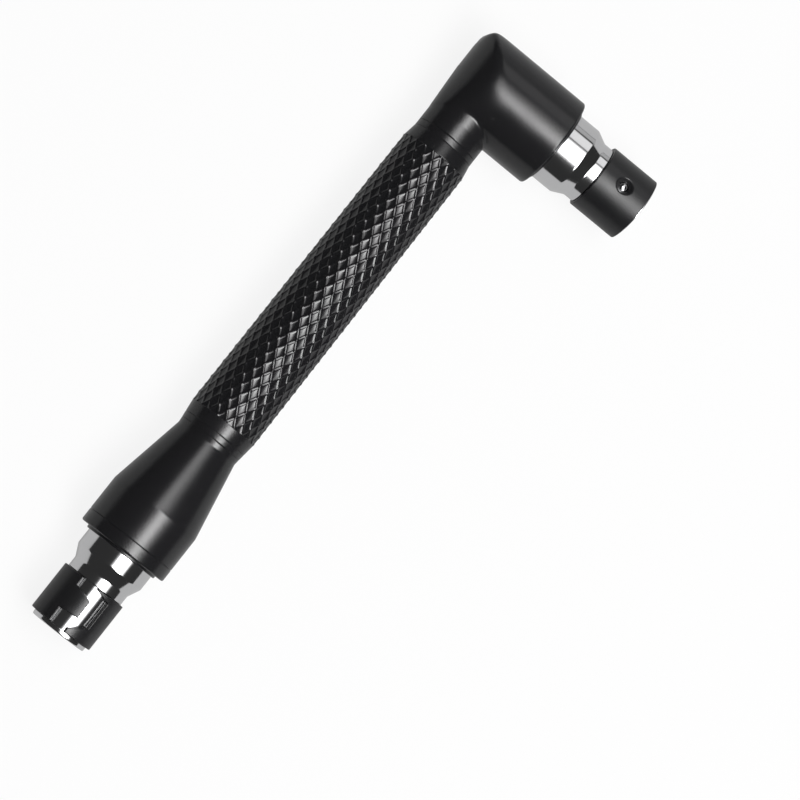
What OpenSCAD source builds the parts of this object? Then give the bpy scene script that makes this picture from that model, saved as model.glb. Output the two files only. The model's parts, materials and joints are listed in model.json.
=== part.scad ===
// Double-ended offset driver for quarter-inch hexagon bits.
// It lies flat: +X points out of the tail socket, +Y out of the head socket, +Z up.
// The origin is under the middle of the tool, on the surface that it rests on.

/* [Body] */
// Diameter of the head and of the straight end of the tail
body_d = 17.2; // [16.6:0.1:18.4]
// Distance from the handle's axis to the back of the head
head_back = 6.3; // [6.1:0.05:6.8]
// Radius of the curve across the back of the head
back_curve_r = 9.4; // [9.3:0.1:11.5]
// Rounding of the head's outer corner
corner_r = 2.6; // [1.6:0.1:3.4]
// Distance from the handle's axis to the mouth of the head
head_reach = 14.8; // [13.6:0.05:17]
// Diameter of the head's neck
neck_d = 11.7; // [11:0.1:12]
// Distance from the head's axis to the end of its neck
neck_end = 11.3; // [11:0.1:14]
// Height of the small bead round each socket at its mouth
bead_h = 0.5; // [0.3:0.05:0.9]
// Wall of that bead
bead_w = 0.5; // [0.3:0.05:0.8]
// Rounding bevel at the two mouths
mouth_bevel = 0.35; // [0.15:0.05:0.6]

/* [Grip] */
// Length of the knurled grip
grip_l = 57.6; // [40:0.1:80]
// Diameter over the knurl at the head end
grip_head_d = 12.7; // [12.2:0.1:13]
// Diameter over the knurl at the tail end
grip_tail_d = 13.1; // [12.2:0.1:13.4]
// Number of helical ribs in each direction
knurl_starts = 22; // [16:1:26]
// Length of one diamond along the grip
knurl_pitch = 3.3; // [2.8:0.1:4.4]
// Height of the ribs
rib_h = 0.18; // [0.08:0.02:0.3]
// Width of a rib at its foot
rib_w = 0.45; // [0.25:0.05:0.7]

/* [Collars and rings] */
// Length of the plain collar at the head end of the grip
head_collar_l = 2.5; // [1.5:0.1:4]
// Length of the plain collar at the tail end of the grip
tail_collar_l = 2.3; // [1.5:0.1:4]
// Width of the narrow ring beside each collar
ring_w = 1.2; // [0.8:0.05:2]
// Bevel on the edges of the collars and rings
edge_bevel = 0.12; // [0.04:0.02:0.2]

/* [Tail] */
// Diameter of the tail where it is thinnest
tail_neck_d = 11.9; // [11.6:0.1:12.2]
// Length of the straight start of the tail
tail_start_l = 1; // [0.5:0.1:2]
// Length of the tail's cone
tail_cone_l = 14; // [10:0.1:20]
// Length of the tail's straight end
tail_end_l = 9; // [8.6:0.1:14]
// Distance of the fine line from the mouth of the tail
line_in = 1.4; // [0.8:0.1:3]
// Width and depth of the fine line
line_w = 0.2; // [0.1:0.02:0.3]

/* [Core rod] */
// Diameter of the rod inside the grip
rod_d = 6; // [4:0.1:7]
// Length of rod inside the head
rod_head_l = 9.8; // [6:0.1:10]
// Length of rod inside the tail
rod_tail_l = 9; // [5:0.1:13]
// Bevel on both ends of the rod
rod_bevel = 0.5; // [0.2:0.05:1]

/* [Sockets] */
// Overall length of a socket
socket_l = 27; // [25.5:0.1:27.2]
// Length of the head socket outside the head
head_socket_out = 18.8; // [17.6:0.05:19]
// Length of the tail socket outside the tail
tail_socket_out = 17.4; // [17.4:0.05:19]
// Diameter of the socket's thick part
socket_d = 13.2; // [12.8:0.1:13.6]
// Diameter of the socket's neck
socket_neck_d = 11.05; // [10.9:0.05:11.6]
// Length of the socket's neck
socket_neck_l = 1.8; // [1.2:0.1:2.2]
// Length of the socket's cone
socket_cone_l = 2.2; // [1.2:0.1:3]
// Diameter of the lip that holds the spring band
lip_d = 10.65; // [10.4:0.05:10.9]
// Length of the lip
lip_l = 0.8; // [0.5:0.05:1.2]
// Bevel round the socket's outer edges
socket_bevel = 0.25; // [0.1:0.05:0.35]

/* [Hexagon] */
// Width of the hexagon across its flats
hex_af = 6.4; // [6.35:0.01:6.6]
// Depth of the hexagon
hex_l = 12; // [10:0.1:14]
// Diameter of the lead-in cone at the mouth
lead_d = 7.8; // [7.4:0.1:8.4]
// Depth of the lead-in cone
lead_l = 0.7; // [0.4:0.1:1.2]
// Depth of the drill's cone under the hexagon
drill_l = 1.6; // [1:0.1:2.2]

/* [Spring bands] */
// Length of a spring band
band_l = 9.15; // [9:0.05:10]
// Inside diameter of a spring band
band_in_d = 10.3; // [10.2:0.02:10.36]
// Thickness of a spring band
band_t = 0.95; // [0.7:0.05:1.2]
// Clearance at each end of a spring band
band_gap = 0.04; // [0.02:0.01:0.1]
// Distance by which the ball lifts the band off its centre
band_shift = 0.13; // [0.05:0.01:0.2]
// Clearance between the band and its groove, opposite the ball
band_seat = 0.02; // [0.01:0.01:0.05]
// Half the angle of the seam's opening
seam_half = 30; // [24:1:34]
// Bevel on the edges of a spring band
band_bevel = 0.15; // [0.05:0.01:0.25]
// Turn of the head socket, away from the tail, from its ball straight above
head_turn = 11; // [-30:1:30]
// Turn of the tail socket from its ball lying straight below
tail_turn = -8; // [-30:1:30]

/* [Detent balls] */
// Diameter of a ball
ball_d = 2.4; // [2.2:0.05:2.6]
// Diameter of the hole in the spring band
window_d = 1.8; // [1.4:0.05:1.95]
// Diameter of the countersink round that hole
sink_d = 3; // [2.4:0.1:3.6]
// Depth of the countersink
sink_l = 0.6; // [0.3:0.05:0.65]
// Distance of the ball from the end of the socket
ball_in = 5.4; // [3.6:0.1:6]
// Clearance of the ball in its hole
ball_gap = 0.05; // [0.02:0.01:0.1]
// Diameter of the throat that keeps the ball from falling in
throat_d = 2; // [1.6:0.05:2.1]
// Height of the throat's cone
throat_l = 0.6; // [0.4:0.05:0.8]
// Clearance between the ball and the hole's rim
ball_seat = 0.02; // [0.01:0.01:0.04]

/* [Fits] */
// Radial clearance of pressed and seated parts
seat_gap = 0.02; // [0.01:0.01:0.04]

/* [Hidden] */
$fn = 96;

// Radii
body_r = body_d / 2;
neck_r = neck_d / 2;
socket_r = socket_d / 2;
lip_r = lip_d / 2;
socket_neck_r = socket_neck_d / 2;
rod_r = rod_d / 2;
ball_r = ball_d / 2;
window_r = window_d / 2;
tail_neck_r = tail_neck_d / 2;
band_in_r = band_in_d / 2;
band_out_r = band_in_r + band_t;
groove_r = band_in_r - band_shift - band_seat;

// Places along the handle, from the head's axis
head_ring_x = neck_end;
head_collar_x = head_ring_x + ring_w;
grip_x = head_collar_x + head_collar_l;
tail_collar_x = grip_x + grip_l;
tail_ring_x = tail_collar_x + tail_collar_l;
tail_x = tail_ring_x + ring_w;
cone_x = tail_x + tail_start_l;
tail_end_x = cone_x + tail_cone_l;
tail_mouth_x = tail_end_x + tail_end_l;
tail_tip_x = tail_mouth_x + tail_socket_out;
head_tip_y = head_reach + head_socket_out;
rod_x = neck_end - rod_head_l;
rod_end_x = tail_x + rod_tail_l;

// Places along a socket, back from its tip
band_z = -lip_l - band_gap - band_l;
groove_z = band_z - band_gap;
socket_cone_z = groove_z - socket_neck_l;
thick_z = socket_cone_z - socket_cone_l;

// Radii of the knurl's foot, which the collars meet
collar_head_r = grip_head_d / 2 - rib_h / 2;
collar_tail_r = grip_tail_d / 2 - rib_h / 2;

// Distance from a socket's axis to the middle of its ball
ball_out = band_in_r + band_shift - sqrt(ball_r * ball_r - window_r * window_r) - ball_seat;

// Shares of the band's length where the seam's tongue and notch begin and end
tongue_root_shares = [0.19, 0.63];
tongue_tip_shares = [0.28, 0.59];
notch_mouth_shares = [0.03, 0.9];
notch_floor_shares = [0.12, 0.7];
// Shares of the seam's half width that the tongue and the two arms reach
tongue_share = 0.11;
arm_share = -0.03;

// Cutting overrun
over = body_d / 20;

// Middle of the handle and of the head, brought to the middle of the footprint
module placed() {
    translate([(body_r - tail_tip_x) / 2, (max(body_r, head_back) - head_tip_y) / 2, body_r])
        children();
}

// Turns a shape that stands on its +Z axis to point along the handle
module along_x(x) {
    translate([x, 0, 0]) rotate([0, 90, 0]) children();
}

// Turns a shape that stands on its +Z axis to point out of the head
module along_y(y) {
    translate([0, y, 0]) rotate([-90, 0, 0]) children();
}

// Socket frames: the tip at the origin, the socket towards -Z and the ball on +X
module at_head() {
    along_y(head_tip_y) rotate([0, 0, -90 - head_turn]) children();
}

module at_tail() {
    along_x(tail_tip_x) rotate([0, 0, tail_turn]) children();
}

// A ring of the given length whose radius runs from r1 to r2, bevelled at both ends
module bevelled_ring(l, r1, r2, bore_r) {
    rotate_extrude()
        polygon([
            [bore_r, 0], [r1 - edge_bevel, 0], [r1, edge_bevel],
            [r2, l - edge_bevel], [r2 - edge_bevel, l], [bore_r, l]
        ]);
}

// A cylinder from the origin up, with a bevel round its top edge
module bevelled_post(l, r, bevel) {
    cylinder(h = l - bevel, r = r);
    translate([0, 0, l - bevel]) cylinder(h = bevel, r1 = r, r2 = r - bevel);
}

// The head: a round barrel whose closed end is curved across and has a rounded corner
module head_barrel() {
    intersection() {
        along_y(-head_back) bevelled_post(head_back + head_reach, body_r, mouth_bevel);
        union() {
            along_x(-body_d)
                translate([0, back_curve_r - head_back, 0])
                    cylinder(h = 2 * body_d, r = back_curve_r);
            translate([-body_d, back_curve_r - head_back, -body_d])
                cube([2 * body_d, head_reach + body_d, 2 * body_d]);
        }
        translate([0, 0, -body_d])
            union() {
                translate([-body_r + corner_r, -head_back + corner_r, 0])
                    cylinder(h = 2 * body_d, r = corner_r);
                translate([-body_r, -head_back + corner_r, 0])
                    cube([2 * body_d, head_reach + body_d, 2 * body_d]);
                translate([-body_r + corner_r, -head_back, 0])
                    cube([2 * body_d, head_reach + body_d, 2 * body_d]);
            }
    }
}

// The neck: straight to the end, and flared to the back of the head inside it
module head_neck() {
    along_x(0) cylinder(h = body_r, r1 = head_back, r2 = neck_r);
    along_x(body_r)
        bevelled_post(neck_end - body_r, neck_r, edge_bevel);
}

module mouth_bead() {
    rotate_extrude()
        polygon([
            [socket_r + seat_gap, -over], [socket_r + seat_gap + bead_w, -over],
            [socket_r + seat_gap + bead_w, bead_h / 2],
            [socket_r + seat_gap + bead_w / 2, bead_h], [socket_r + seat_gap, bead_h]
        ]);
}

module elbow_head() color([0.1, 0.1, 0.11]) placed() {
    difference() {
        union() {
            head_barrel();
            head_neck();
        }
        along_x(rod_x) cylinder(h = rod_head_l + over, r = rod_r + seat_gap);
        along_y(head_tip_y - socket_l)
            cylinder(h = socket_l, r = socket_r + seat_gap);
    }
    along_y(head_reach) mouth_bead();
}

module head_ring() color([0.16, 0.16, 0.17]) placed()
    along_x(head_ring_x) bevelled_ring(ring_w, neck_r, neck_r, rod_r + seat_gap);

module head_collar() color([0.1, 0.1, 0.11]) placed()
    along_x(head_collar_x)
        bevelled_ring(head_collar_l, neck_r, collar_head_r, rod_r + seat_gap);

// Radius of the tail's collar and ring, which taper together to the tail's neck
function tail_taper_r(x) =
    collar_tail_r + (tail_neck_r - collar_tail_r) * (x - tail_collar_x) / (cone_x - tail_collar_x);

module tail_collar() color([0.1, 0.1, 0.11]) placed()
    along_x(tail_collar_x)
        bevelled_ring(tail_collar_l, collar_tail_r, tail_taper_r(tail_ring_x), rod_r + seat_gap);

module tail_ring() color([0.16, 0.16, 0.17]) placed()
    along_x(tail_ring_x)
        bevelled_ring(ring_w, tail_taper_r(tail_ring_x), tail_taper_r(tail_x), rod_r + seat_gap);

// The tail: a short start, a cone and a straight end, turned in one
module tail_cone() color([0.1, 0.1, 0.11]) placed() {
    start_r = tail_taper_r(tail_x);
    end_l = tail_mouth_x - tail_x;
    line_l = end_l - line_in;
    along_x(tail_x)
        difference() {
            rotate_extrude()
                polygon([
                    [0, 0], [start_r - edge_bevel, 0], [start_r, edge_bevel],
                    [tail_neck_r, tail_start_l], [body_r, tail_start_l + tail_cone_l],
                    [body_r, line_l - line_w], [body_r - line_w / 2, line_l - line_w / 2],
                    [body_r, line_l], [body_r, end_l - mouth_bevel],
                    [body_r - mouth_bevel, end_l], [0, end_l]
                ]);
            translate([0, 0, -over]) cylinder(h = rod_tail_l + over, r = rod_r + seat_gap);
            translate([0, 0, end_l + tail_socket_out - socket_l])
                cylinder(h = socket_l, r = socket_r + seat_gap);
        }
    along_x(tail_mouth_x) mouth_bead();
}

module core_rod() color([0.55, 0.56, 0.58]) placed()
    along_x(rod_x)
        rotate_extrude()
            polygon([
                [0, 0], [rod_r - rod_bevel, 0], [rod_r, rod_bevel],
                [rod_r, rod_end_x - rod_x - rod_bevel],
                [rod_r - rod_bevel, rod_end_x - rod_x], [0, rod_end_x - rod_x]
            ]);

// The knurl: raised ribs cross at every second step of a grid of rows and columns.
// Each cell between them has a flat floor, joined to its four crossings by sloping sides.
knurl_rows = round(2 * grip_l / knurl_pitch);
last_side = knurl_rows % 2;
knurl_step = 180 / knurl_starts;

function knurl_r(row) =
    (grip_head_d + (grip_tail_d - grip_head_d) * row / knurl_rows) / 2;

function knurl_point(row, column, depth) =
    let (r = knurl_r(row) - depth)
    [row * grip_l / knurl_rows, r * cos(column * knurl_step), r * sin(column * knurl_step)];

// Share of a cell that its flat floor takes, from the distance between parallel ribs
knurl_across = PI * (grip_head_d + grip_tail_d) / 2 / knurl_starts;
knurl_spacing = knurl_pitch * knurl_across
    / sqrt(knurl_pitch * knurl_pitch + knurl_across * knurl_across);
floor_share = 1 - rib_w / knurl_spacing;

function crossing(row, column) =
    row * knurl_starts + floor((column + 2 * knurl_starts) / 2) % knurl_starts;

function cell_corner(row, start, corner) =
    (knurl_rows + 1) * knurl_starts + 4 * ((row - 1) * knurl_starts + start) + corner;

module knurled_bar() {
    crossings = [
        for (row = [0:knurl_rows]) for (start = [0:knurl_starts - 1])
            knurl_point(row, 2 * start + row % 2, 0)
    ];
    floors = [
        for (row = [1:knurl_rows - 1]) for (start = [0:knurl_starts - 1])
            let (column = 2 * start + 1 - row % 2)
            for (corner = [[-1, 0], [0, 1], [1, 0], [0, -1]])
                knurl_point(row + floor_share * corner[0], column + floor_share * corner[1], rib_h)
    ];
    cells = [
        for (row = [1:knurl_rows - 1]) for (start = [0:knurl_starts - 1])
            let (
                column = 2 * start + 1 - row % 2,
                ring = [
                    crossing(row - 1, column), crossing(row, column - 1),
                    crossing(row + 1, column), crossing(row, column + 1)
                ],
                inner = [
                    cell_corner(row, start, 0), cell_corner(row, start, 3),
                    cell_corner(row, start, 2), cell_corner(row, start, 1)
                ]
            )
            each concat(
                [[inner[0], inner[1], inner[2]], [inner[0], inner[2], inner[3]]],
                [for (i = [0:3]) [ring[i], ring[(i + 1) % 4], inner[(i + 1) % 4]]],
                [for (i = [0:3]) [ring[i], inner[(i + 1) % 4], inner[i]]]
            )
    ];
    head_edge = [
        for (start = [0:knurl_starts - 1])
            [crossing(0, 2 * start), crossing(1, 2 * start + 1), crossing(0, 2 * start + 2)]
    ];
    tail_edge = [
        for (start = [0:knurl_starts - 1])
            let (column = 2 * start + last_side)
            [crossing(knurl_rows - 1, column + 1), crossing(knurl_rows, column),
             crossing(knurl_rows, column + 2)]
    ];
    caps = [
        [for (start = [0:knurl_starts - 1]) crossing(0, 2 * start)],
        [for (start = [knurl_starts - 1:-1:0]) crossing(knurl_rows, 2 * start + last_side)]
    ];
    polyhedron(points = concat(crossings, floors),
               faces = concat(cells, head_edge, tail_edge, caps));
}

module grip() color([0.09, 0.09, 0.1]) placed()
    translate([grip_x, 0, 0])
        difference() {
            knurled_bar();
            along_x(-over) cylinder(h = grip_l + 2 * over, r = rod_r + seat_gap);
        }

// One socket, with its tip at the origin and its ball hole on +X
module socket() {
    hex_r = hex_af / 2 / cos(30);
    throat_out = ball_out - ball_r / 2;
    difference() {
        rotate_extrude()
            polygon([
                [0, 0], [lip_r - socket_bevel, 0], [lip_r, -socket_bevel], [lip_r, -lip_l],
                [groove_r, -lip_l], [groove_r, groove_z], [socket_neck_r, groove_z],
                [socket_neck_r, socket_cone_z], [socket_r, thick_z],
                [socket_r, -socket_l + 2 * socket_bevel],
                [socket_r - 2 * socket_bevel, -socket_l], [0, -socket_l]
            ]);
        translate([0, 0, -hex_l]) cylinder(h = hex_l + over, r = hex_r, $fn = 6);
        translate([0, 0, -hex_l - drill_l]) cylinder(h = drill_l, r1 = 0, r2 = hex_af / 2);
        translate([0, 0, -lead_l])
            cylinder(h = 2 * lead_l, r1 = hex_af / 2, r2 = lead_d - hex_af / 2);
        translate([0, 0, -ball_in]) rotate([0, 90, 0]) {
            cylinder(h = socket_r, r = throat_d / 2);
            translate([0, 0, throat_out - throat_l])
                cylinder(h = throat_l, r1 = throat_d / 2, r2 = ball_r + ball_gap);
            translate([0, 0, throat_out]) cylinder(h = socket_r, r = ball_r + ball_gap);
        }
    }
}

module head_socket() color([0.8, 0.81, 0.83]) placed() at_head() socket();

module tail_socket() color([0.8, 0.81, 0.83]) placed() at_tail() socket();

// The opening of a band, with the tongue of one end reaching into the notch of the other
module seam() {
    half = band_out_r * sin(seam_half);
    function place(across, share) = [across * half, band_z + share * band_l];
    rotate([0, 0, 180]) rotate([90, 0, 90])
        linear_extrude(height = body_r)
            polygon([
                place(1, 0) - [0, over], place(1, tongue_root_shares[0]),
                place(-tongue_share, tongue_tip_shares[0]),
                place(-tongue_share, tongue_tip_shares[1]),
                place(1, tongue_root_shares[1]), place(1, 1) + [0, over],
                place(-arm_share, 1) + [0, over], place(-arm_share, notch_mouth_shares[1]),
                place(-1, notch_floor_shares[1]), place(-1, notch_floor_shares[0]),
                place(-arm_share, notch_mouth_shares[0]), place(-arm_share, 0) - [0, over]
            ]);
}

// One spring band, lifted by its ball on +X and open on the far side
module band() {
    difference() {
        translate([band_shift, 0, 0])
            rotate_extrude()
                polygon([
                    [band_in_r, band_z], [band_out_r - band_bevel, band_z],
                    [band_out_r, band_z + band_bevel],
                    [band_out_r, band_z + band_l - band_bevel],
                    [band_out_r - band_bevel, band_z + band_l], [band_in_r, band_z + band_l]
                ]);
        seam();
        translate([0, 0, -ball_in]) rotate([0, 90, 0]) {
            cylinder(h = body_r, r = window_r);
            translate([0, 0, band_out_r + band_shift - sink_l])
                cylinder(h = 2 * sink_l, r1 = window_r, r2 = sink_d - window_r);
        }
    }
}

module head_band() color([0.13, 0.13, 0.14]) placed() at_head() band();

module tail_band() color([0.13, 0.13, 0.14]) placed() at_tail() band();

module ball() {
    translate([ball_out, 0, -ball_in]) sphere(r = ball_r);
}

module head_ball() color([0.75, 0.76, 0.78]) placed() at_head() ball();

module tail_ball() color([0.75, 0.76, 0.78]) placed() at_tail() ball();

elbow_head();
head_ring();
head_collar();
grip();
tail_collar();
tail_ring();
tail_cone();
core_rod();
head_socket();
tail_socket();
head_band();
tail_band();
head_ball();
tail_ball();
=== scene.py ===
"""Looks of a double-ended offset driver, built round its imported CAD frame.

The driver lies flat: +X points out of the tail socket, +Y out of the head socket and +Z up.
Each sub-assembly is a class that holds its sizes in millimetres, builds its meshes in place
and dresses them. The detent balls and the core rod keep their CAD meshes.
"""

import json
import logging
import math
from collections.abc import Callable, Sequence
from dataclasses import dataclass, field
from enum import Enum

import bmesh
import bpy
import numpy as np
from mathutils import Matrix, Quaternion, Vector


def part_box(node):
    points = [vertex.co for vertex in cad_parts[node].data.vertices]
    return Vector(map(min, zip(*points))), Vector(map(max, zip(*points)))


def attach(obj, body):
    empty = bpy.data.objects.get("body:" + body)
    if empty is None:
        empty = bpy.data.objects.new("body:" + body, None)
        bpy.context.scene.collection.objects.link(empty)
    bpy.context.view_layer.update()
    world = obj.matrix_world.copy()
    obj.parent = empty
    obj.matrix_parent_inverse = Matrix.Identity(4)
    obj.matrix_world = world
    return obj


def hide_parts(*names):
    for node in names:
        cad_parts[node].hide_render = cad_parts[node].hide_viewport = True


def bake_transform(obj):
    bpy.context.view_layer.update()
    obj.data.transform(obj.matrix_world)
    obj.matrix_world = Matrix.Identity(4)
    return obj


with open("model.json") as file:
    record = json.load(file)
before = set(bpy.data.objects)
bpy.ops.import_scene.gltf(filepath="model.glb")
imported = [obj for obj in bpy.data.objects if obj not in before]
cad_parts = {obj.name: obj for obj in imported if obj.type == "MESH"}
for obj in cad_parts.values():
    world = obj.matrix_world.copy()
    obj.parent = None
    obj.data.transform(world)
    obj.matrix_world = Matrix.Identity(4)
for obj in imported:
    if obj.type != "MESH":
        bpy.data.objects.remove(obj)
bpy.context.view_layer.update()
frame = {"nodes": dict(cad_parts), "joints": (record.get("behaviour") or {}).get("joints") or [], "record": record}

LOG = logging.getLogger("offset_driver")

# A millimetre in metres, and a whole turn in radians
MM = 0.001
TURN = 2 * math.pi

# Edges that turn by more than this many degrees stay sharp
SHARP_DEG = 38.0

# The body of every piece that doesn't move
FIXED_BODY = "driver"


class Slot(Enum):
    """The record's material slots."""

    BODY = "black_body"
    GRIP = "black_grip"
    CHROME = "chrome_plate"
    SPRING = "black_spring"
    BALL = "ball_steel"
    ROD = "rod_steel"


Finishes = dict[Slot, bpy.types.Material]


# Sizes and places on the driver


@dataclass(frozen=True)
class CommonSizes:
    """Sizes that more than one sub-assembly takes up, in millimetres.

    Attributes:
        body_r: Radius of the head's barrel and of the tail's straight end.
        neck_r: Radius of the head's neck and of the ring beside it.
        rod_bore_r: Radius of the bore for the core rod.
        socket_bore_r: Radius of the bore for a socket.
        bead_w: Width of the bead round a socket's bore.
        bead_h: Height of that bead over the mouth.
    """

    body_r: float = 8.6
    neck_r: float = 5.85
    rod_bore_r: float = 3.02
    socket_bore_r: float = 6.62
    bead_w: float = 0.5
    bead_h: float = 0.5


COMMON = CommonSizes()


@dataclass(frozen=True)
class Axes:
    """Where the driver's axes lie, in millimetres in the row frame.

    Attributes:
        head_tip: Middle of the head socket's mouth.
        tail_tip: Middle of the tail socket's mouth.
        head_ball: Direction in which the head ball moves out.
        tail_ball: Direction in which the tail ball moves out.
    """

    head_tip: Vector
    tail_tip: Vector
    head_ball: Vector
    tail_ball: Vector

    @classmethod
    def from_frame(cls) -> "Axes":
        """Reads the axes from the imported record's mounts and joints.

        Returns:
            The driver's axes.
        """
        mounts = {m["name"]: Vector(m["pos_m"]) / MM for m in frame["record"]["mounts"]}
        joints = {j["name"]: Vector(j["axis"]) for j in frame["joints"]}
        return cls(
            head_tip=mounts["head_drive"],
            tail_tip=mounts["tail_drive"],
            head_ball=joints["head_ball_press"],
            tail_ball=joints["tail_ball_press"],
        )

    @property
    def crossing(self) -> Vector:
        """Where the head's axis crosses the handle's."""
        return Vector((self.head_tip.x, self.tail_tip.y, self.head_tip.z))

    def at_crossing(self) -> Matrix:
        """Places a shape drawn from the crossing of the two axes."""
        return Matrix.Translation(self.crossing)

    def along_handle(self, x: float) -> Matrix:
        """Places a shape that stands on its +Z axis so that it points at the tail from x."""
        start = Vector((x, self.tail_tip.y, self.tail_tip.z))
        return standing(start, Vector((1, 0, 0)), Vector((0, 0, 1)))

    def at_head_tip(self) -> Matrix:
        """Places a shape drawn from a socket's tip, with its ball on +X, in the head."""
        return standing(self.head_tip, Vector((0, 1, 0)), self.head_ball)

    def at_tail_tip(self) -> Matrix:
        """Places a shape drawn from a socket's tip, with its ball on +X, in the tail."""
        return standing(self.tail_tip, Vector((1, 0, 0)), self.tail_ball)


def standing(start: Vector, outward: Vector, aside: Vector) -> Matrix:
    """Makes the matrix of a frame from its own +Z and +X directions.

    Args:
        start: Place of the frame's origin.
        outward: Direction of its +Z axis.
        aside: Direction of its +X axis.

    Returns:
        The matrix that brings a shape drawn in that frame to its place.
    """
    turned = Matrix((aside, outward.cross(aside), outward)).transposed().to_4x4()
    return Matrix.Translation(start) @ turned


# Meshes


def make_piece(
    name: str,
    points: np.ndarray,
    faces: Sequence[Sequence[int]],
    place: Matrix,
    normals: np.ndarray | None = None,
) -> bpy.types.Object:
    """Makes a mesh object whose object sits at the origin.

    Args:
        name: Name of the piece.
        points: Vertices in millimetres, in the shape's own frame.
        faces: Corners of each face.
        place: Matrix that brings the shape to its place, in millimetres.
        normals: Exact vertex normals in the shape's own frame, or None if its sharp edges are to
            be found by their angle.

    Returns:
        The new object.
    """
    mesh = bpy.data.meshes.new(name)
    mesh.from_pydata([tuple(p) for p in points], [], [tuple(f) for f in faces])
    mesh.transform(Matrix.Diagonal((MM, MM, MM, 1)) @ place)
    mesh.validate()
    face_outwards(mesh)
    mesh.shade_smooth()
    if normals is None:
        mesh.set_sharp_from_angle(angle=math.radians(SHARP_DEG))
    else:
        turned = normals @ np.array(place.to_3x3()).T
        mesh.normals_split_custom_set_from_vertices([tuple(n) for n in turned])
    piece = bpy.data.objects.new(name, mesh)
    bpy.context.scene.collection.objects.link(piece)
    return piece


def face_outwards(mesh: bpy.types.Mesh) -> None:
    """Turns the faces of a closed mesh outwards.

    Args:
        mesh: The mesh, which is changed.
    """
    work = bmesh.new()
    work.from_mesh(mesh)
    bmesh.ops.recalc_face_normals(work, faces=work.faces)
    work.to_mesh(mesh)
    work.free()


def plain_copy(piece: bpy.types.Object) -> None:
    """Turns what a piece's modifiers make into its plain mesh, and removes them.

    Args:
        piece: The piece, whose mesh and modifiers are changed.
    """
    graph = bpy.context.evaluated_depsgraph_get()
    made = bpy.data.meshes.new_from_object(piece.evaluated_get(graph), depsgraph=graph)
    piece.modifiers.clear()
    made.name = piece.name
    piece.data = made


def dress(piece: bpy.types.Object, slot: Slot, finishes: Finishes, *nodes: str) -> None:
    """Gives a fixed piece its finish, and lets it stand for its CAD nodes.

    Args:
        piece: The finished piece.
        slot: Material slot of the record.
        finishes: The materials by slot.
        nodes: CAD nodes that it stands for.
    """
    piece.data.materials.clear()
    piece.data.materials.append(finishes[slot])
    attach(piece, FIXED_BODY)
    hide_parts(*nodes)
    LOG.info("%s: %d faces, for %s", piece.name, len(piece.data.polygons), ", ".join(nodes))


def paint_node(node: str, material: bpy.types.Material) -> None:
    """Gives a CAD node that keeps its own mesh its finish.

    Args:
        node: Name of the node.
        material: Its finish.
    """
    materials = frame["nodes"][node].data.materials
    materials.clear()
    materials.append(material)


# Turned shapes


@dataclass(frozen=True)
class Corner:
    """One corner of a turned outline: place along the axis, radius, and rounding."""

    z: float
    r: float
    rounding: float = 0.0


@dataclass(frozen=True)
class Turned:
    """A shape turned from an outline with rounded corners.

    Attributes:
        corners: The outline's corners.
        closed: True if the outline closes on itself, and False if it ends on the axis.
        segments: Number of segments round the axis.
        arc_steps: Number of steps in a rounding.
        support: Distance from a rounding at which a straight gets its own ring.
        support_share: Most of a straight's length that this distance takes.
        cut_share: Most of a straight's length that one rounding takes.
    """

    corners: tuple[Corner, ...]
    closed: bool = False
    segments: int = 192
    arc_steps: int = 5
    support: float = 0.05
    support_share: float = 0.04
    cut_share: float = 0.45

    def outline(self) -> list[tuple[float, float]]:
        """Draws the outline with each rounding as an arc.

        Returns:
            The outline's points as places along the axis and radii.
        """
        points: list[tuple[float, float]] = []
        count = len(self.corners)
        for i, corner in enumerate(self.corners):
            ends = not self.closed and i in (0, count - 1)
            if ends or corner.rounding == 0:
                points.append((corner.z, corner.r))
                continue
            before, after = self.corners[i - 1], self.corners[(i + 1) % count]
            points.extend(self.arc(before, corner, after))
        return points

    def arc(self, before: Corner, corner: Corner, after: Corner) -> list[tuple[float, float]]:
        """Rounds one corner.

        Args:
            before: The corner before it.
            corner: The corner to round.
            after: The corner after it.

        Returns:
            The arc's points with a support point on each side.
        """
        here = np.array((corner.z, corner.r))
        back = np.array((before.z, before.r)) - here
        on = np.array((after.z, after.r)) - here
        back_l, on_l = np.linalg.norm(back), np.linalg.norm(on)
        back, on = back / back_l, on / on_l
        half = math.acos(float(np.clip(back @ on, -1, 1))) / 2
        cut = min(corner.rounding / math.tan(half), self.cut_share * back_l, self.cut_share * on_l)
        radius = cut * math.tan(half)
        middle = (back + on) / np.linalg.norm(back + on)
        centre = here + middle * (radius / math.sin(half))
        first, last = here + back * cut - centre, here + on * cut - centre
        sweep = math.pi - 2 * half
        side = math.copysign(1, first[0] * last[1] - first[1] * last[0])
        points = [tuple(here + back * (cut + min(self.support, self.support_share * back_l)))]
        for step in range(self.arc_steps + 1):
            angle = side * sweep * step / self.arc_steps
            c, s = math.cos(angle), math.sin(angle)
            spun = np.array((c * first[0] - s * first[1], s * first[0] + c * first[1]))
            points.append(tuple(centre + spun))
        points.append(tuple(here + on * (cut + min(self.support, self.support_share * on_l))))
        return points

    def rings(self) -> list[tuple[np.ndarray, np.ndarray]]:
        """Gives each ring as its heights and its radii round the axis."""
        flat = np.ones(self.segments)
        return [(z * flat, r * flat) for z, r in self.outline()]

    def mesh(self) -> tuple[np.ndarray, list[list[int]]]:
        """Gives the turned shape's points and faces."""
        return skin(self.rings(), self.closed)


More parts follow.
